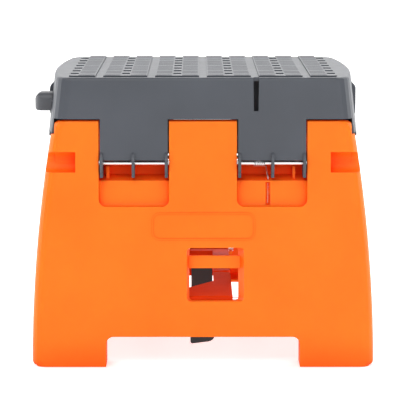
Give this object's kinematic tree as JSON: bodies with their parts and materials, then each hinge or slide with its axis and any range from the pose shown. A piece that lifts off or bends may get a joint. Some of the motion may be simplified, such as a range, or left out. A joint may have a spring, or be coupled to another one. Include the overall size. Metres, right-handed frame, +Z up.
{
  "type": "sawhorse",
  "caption": "Low folding work stool used as a half-height sawhorse: grey ribbed platform with an end lug on two orange moulded leg panels that fold flat on steel hinge rods.",
  "frame": {"origin": "on the floor, at the centre of the object's outer box", "axes": "+X to the right along the platform's length (end lug at -X), +Y from the front leg to the rear leg, +Z up"},
  "size_m": [0.3642, 0.3196, 0.3065],
  "materials": {
    "grey_plastic": "satin moulded",
    "dark_grey_plastic": "satin moulded",
    "orange_plastic": "satin moulded",
    "black_plastic": "satin moulded",
    "steel": "drawn bright",
    "spring_steel": "drawn"
  },
  "bodies": {
    "platform_body": {"platform": "grey_plastic", "end_lug": "dark_grey_plastic", "end_lug_screw": "steel"},
    "front_leg": {"leg_front": "orange_plastic", "hinge_rod_front": "steel", "rod_cap_front_left": "black_plastic", "rod_cap_front_right": "black_plastic", "torsion_spring_front": "spring_steel", "brace_pin_front": "steel", "release_pin_front": "steel"},
    "rear_leg": {"leg_rear": "orange_plastic", "hinge_rod_rear": "steel", "rod_cap_rear_left": "black_plastic", "rod_cap_rear_right": "black_plastic", "torsion_spring_rear": "spring_steel", "brace_pin_rear": "steel", "release_pin_rear": "steel"},
    "front_brace": {"brace_front": "orange_plastic"},
    "rear_brace": {"brace_rear": "orange_plastic"},
    "front_tab": {"release_tab_front": "black_plastic"},
    "rear_tab": {"release_tab_rear": "black_plastic"}
  },
  "joints": [
    {"name": "front_leg_fold", "type": "hinge", "parent": "platform_body", "child": "front_leg", "pos_m": [0, -0.12625, 0.2145], "axis": [1, 0, 0], "range_deg": [0, 96.5], "stiffness_Nm_per_rad": 0.06, "springref_deg": -57.3},
    {"name": "front_brace_fold", "type": "hinge", "parent": "front_leg", "child": "front_brace", "pos_m": [0, -0.13489, 0.068], "axis": [1, 0, 0], "range_deg": [0, 83.6]},
    {"name": "front_release", "type": "hinge", "parent": "front_leg", "child": "front_tab", "pos_m": [0, -0.14491, 0.05605], "axis": [1, 0, 0], "range_deg": [0, 8], "stiffness_Nm_per_rad": 0.05, "springref_deg": -2.86},
    {"name": "rear_leg_fold", "type": "hinge", "parent": "platform_body", "child": "rear_leg", "pos_m": [0, 0.1299, 0.1825], "axis": [-1, 0, 0], "range_deg": [0, 96.5], "stiffness_Nm_per_rad": 0.06, "springref_deg": -57.3},
    {"name": "rear_brace_fold", "type": "hinge", "parent": "rear_leg", "child": "rear_brace", "pos_m": [0, 0.13489, 0.068], "axis": [-1, 0, 0], "range_deg": [0, 83.6]},
    {"name": "rear_release", "type": "hinge", "parent": "rear_leg", "child": "rear_tab", "pos_m": [0, 0.14491, 0.05605], "axis": [-1, 0, 0], "range_deg": [0, 8], "stiffness_Nm_per_rad": 0.05, "springref_deg": -2.86}
  ],
  "couplings": [
    {"joint": "front_brace_fold", "follows": "front_leg_fold", "ratio": 0.8653},
    {"joint": "rear_brace_fold", "follows": "rear_leg_fold", "ratio": 0.8653}
  ]
}
